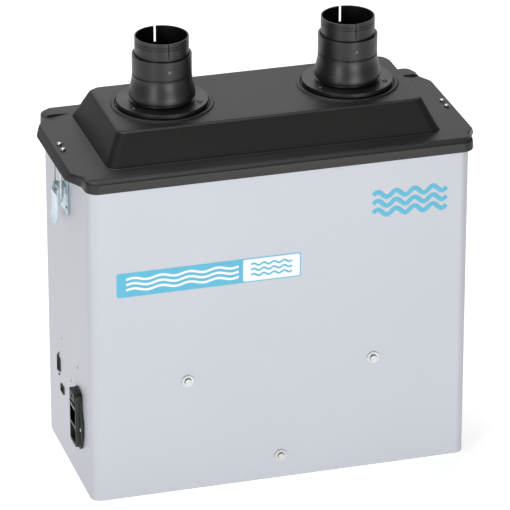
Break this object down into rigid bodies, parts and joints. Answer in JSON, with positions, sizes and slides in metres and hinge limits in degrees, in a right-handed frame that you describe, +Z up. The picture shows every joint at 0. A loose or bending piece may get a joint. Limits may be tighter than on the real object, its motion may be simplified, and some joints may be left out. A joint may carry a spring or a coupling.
{
  "type": "solder fume extractor",
  "caption": "Box-shaped solder fume extractor with a lift-off domed cover, hose nozzles, draw latches, a filter cassette and a radial blower.",
  "frame": {"origin": "middle of the footprint, on the surface that the feet stand on", "axes": "+Z up, -Y the front with the three screws, -X the side with the mains inlet, +X the exhaust side"},
  "size_m": [0.462, 0.222, 0.5043],
  "materials": {
    "grey_paint": "light silver-grey powder coat, satin with a very fine texture",
    "galvanised_steel": "galvanised sheet, dull spangle",
    "foot_rubber": "black moulded rubber, matt",
    "seal_foam": "closed-cell black foam strip",
    "bright_steel": "bright zinc-plated steel",
    "zinc_steel": "blue-passivated zinc-plated pressed sheet",
    "motor_casting": "die-cast aluminium, as cast",
    "scroll_plastic": "black moulded plastic",
    "impeller_plastic": "glass-filled plastic, matt",
    "inlet_plastic": "black thermoplastic, semi-gloss",
    "rocker_plastic": "dark grey rocker, glossy",
    "contact_brass": "nickel-plated brass contact blade",
    "board_green": "green solder mask",
    "cassette_plastic": "grey moulded plastic",
    "carbon_granulate": "bonded activated-carbon granulate",
    "filter_paper": "pleated fine-dust filter paper",
    "filter_fleece": "coarse needled fleece",
    "cover_plastic": "black thermoformed plastic, satin with a fine leather grain",
    "nozzle_plastic": "black moulded plastic, satin, turned finish on the ring"
  },
  "bodies": {
    "housing": {"housing_shell": "grey_paint", "base_plate": "galvanised_steel", "rubber_foot_1": "foot_rubber", "rubber_foot_2": "foot_rubber", "rubber_foot_3": "foot_rubber", "rubber_foot_4": "foot_rubber", "filter_deck": "galvanised_steel", "front_screw_1": "bright_steel", "front_screw_2": "bright_steel", "front_screw_3": "bright_steel", "front_washer_1": "bright_steel", "front_washer_2": "bright_steel", "front_washer_3": "bright_steel", "blower_bracket": "galvanised_steel", "blower_motor": "motor_casting", "volute_housing": "scroll_plastic", "volute_inlet_plate": "scroll_plastic", "exhaust_grille": "inlet_plastic", "inlet_body": "inlet_plastic", "inlet_pin_1": "contact_brass", "inlet_pin_2": "contact_brass", "inlet_pin_3": "contact_brass", "dsub_connector": "inlet_plastic", "interface_jack": "inlet_plastic", "control_board": "board_green", "power_supply": "galvanised_steel", "latch_base_left": "zinc_steel", "latch_base_right": "zinc_steel", "latch_pin_left": "bright_steel", "latch_pin_right": "bright_steel"},
    "cover": {"cover": "cover_plastic", "cover_gasket": "seal_foam", "nozzle_left": "nozzle_plastic", "nozzle_right": "nozzle_plastic", "nozzle_gasket_left": "seal_foam", "nozzle_gasket_right": "seal_foam", "hose_ring_left": "nozzle_plastic", "hose_ring_right": "nozzle_plastic", "set_screw_left": "bright_steel", "set_screw_right": "bright_steel", "keeper_left": "bright_steel", "keeper_right": "bright_steel", "keeper_screw_left_1": "bright_steel", "keeper_screw_left_2": "bright_steel", "keeper_screw_right_1": "bright_steel", "keeper_screw_right_2": "bright_steel"},
    "prefilter": {"prefilter_mat": "filter_fleece"},
    "filter": {"filter_frame": "cassette_plastic", "filter_seal": "seal_foam", "carbon_bed": "carbon_granulate", "pleated_filter": "filter_paper"},
    "impeller": {"impeller": "impeller_plastic", "motor_shaft": "bright_steel"},
    "lever_left": {"latch_lever_left": "zinc_steel"},
    "lever_right": {"latch_lever_right": "zinc_steel"},
    "bail_left": {"latch_bail_left": "bright_steel"},
    "bail_right": {"latch_bail_right": "bright_steel"},
    "rocker": {"rocker_switch": "rocker_plastic"},
    "fuse_drawer": {"fuse_drawer": "inlet_plastic"}
  },
  "joints": [
    {"name": "filter_lift", "type": "slide", "parent": "housing", "child": "filter", "axis": [0, 0, 1], "range_m": [0, 0.17]},
    {"name": "prefilter_lift", "type": "slide", "parent": "housing", "child": "prefilter", "axis": [0, 0, 1], "range_m": [0, 0.21]},
    {"name": "cover_lift", "type": "slide", "parent": "housing", "child": "cover", "axis": [0, 0, 1], "range_m": [0, 0.27]},
    {"name": "impeller_spin", "type": "hinge", "parent": "housing", "child": "impeller", "pos_m": [0, 0, 0.137], "axis": [0, 1, 0], "continuous": true},
    {"name": "latch_left_open", "type": "hinge", "parent": "housing", "child": "lever_left", "pos_m": [-0.223, 0, 0.34], "axis": [0, 1, 0], "range_deg": [0, 140]},
    {"name": "bail_left_swing", "type": "hinge", "parent": "lever_left", "child": "bail_left", "pos_m": [-0.223, 0, 0.333], "axis": [0, 1, 0], "range_deg": [-175, 0]},
    {"name": "latch_right_open", "type": "hinge", "parent": "housing", "child": "lever_right", "pos_m": [0.223, 0, 0.34], "axis": [0, -1, 0], "range_deg": [0, 140]},
    {"name": "bail_right_swing", "type": "hinge", "parent": "lever_right", "child": "bail_right", "pos_m": [0.223, 0, 0.333], "axis": [0, -1, 0], "range_deg": [-175, 0]},
    {"name": "mains_rocker", "type": "hinge", "parent": "housing", "child": "rocker", "pos_m": [-0.2165, -0.047, 0.091], "axis": [0, 1, 0], "range_deg": [0, 14]},
    {"name": "fuse_drawer_pull", "type": "slide", "parent": "housing", "child": "fuse_drawer", "axis": [-1, 0, 0], "range_m": [0, 0.016]}
  ],
  "couplings": [
    {"joint": "prefilter_lift", "follows": "filter_lift", "ratio": 1.2},
    {"joint": "cover_lift", "follows": "filter_lift", "ratio": 1.55},
    {"joint": "bail_left_swing", "follows": "latch_left_open", "ratio": -1.25},
    {"joint": "bail_right_swing", "follows": "latch_right_open", "ratio": -1.25}
  ]
}
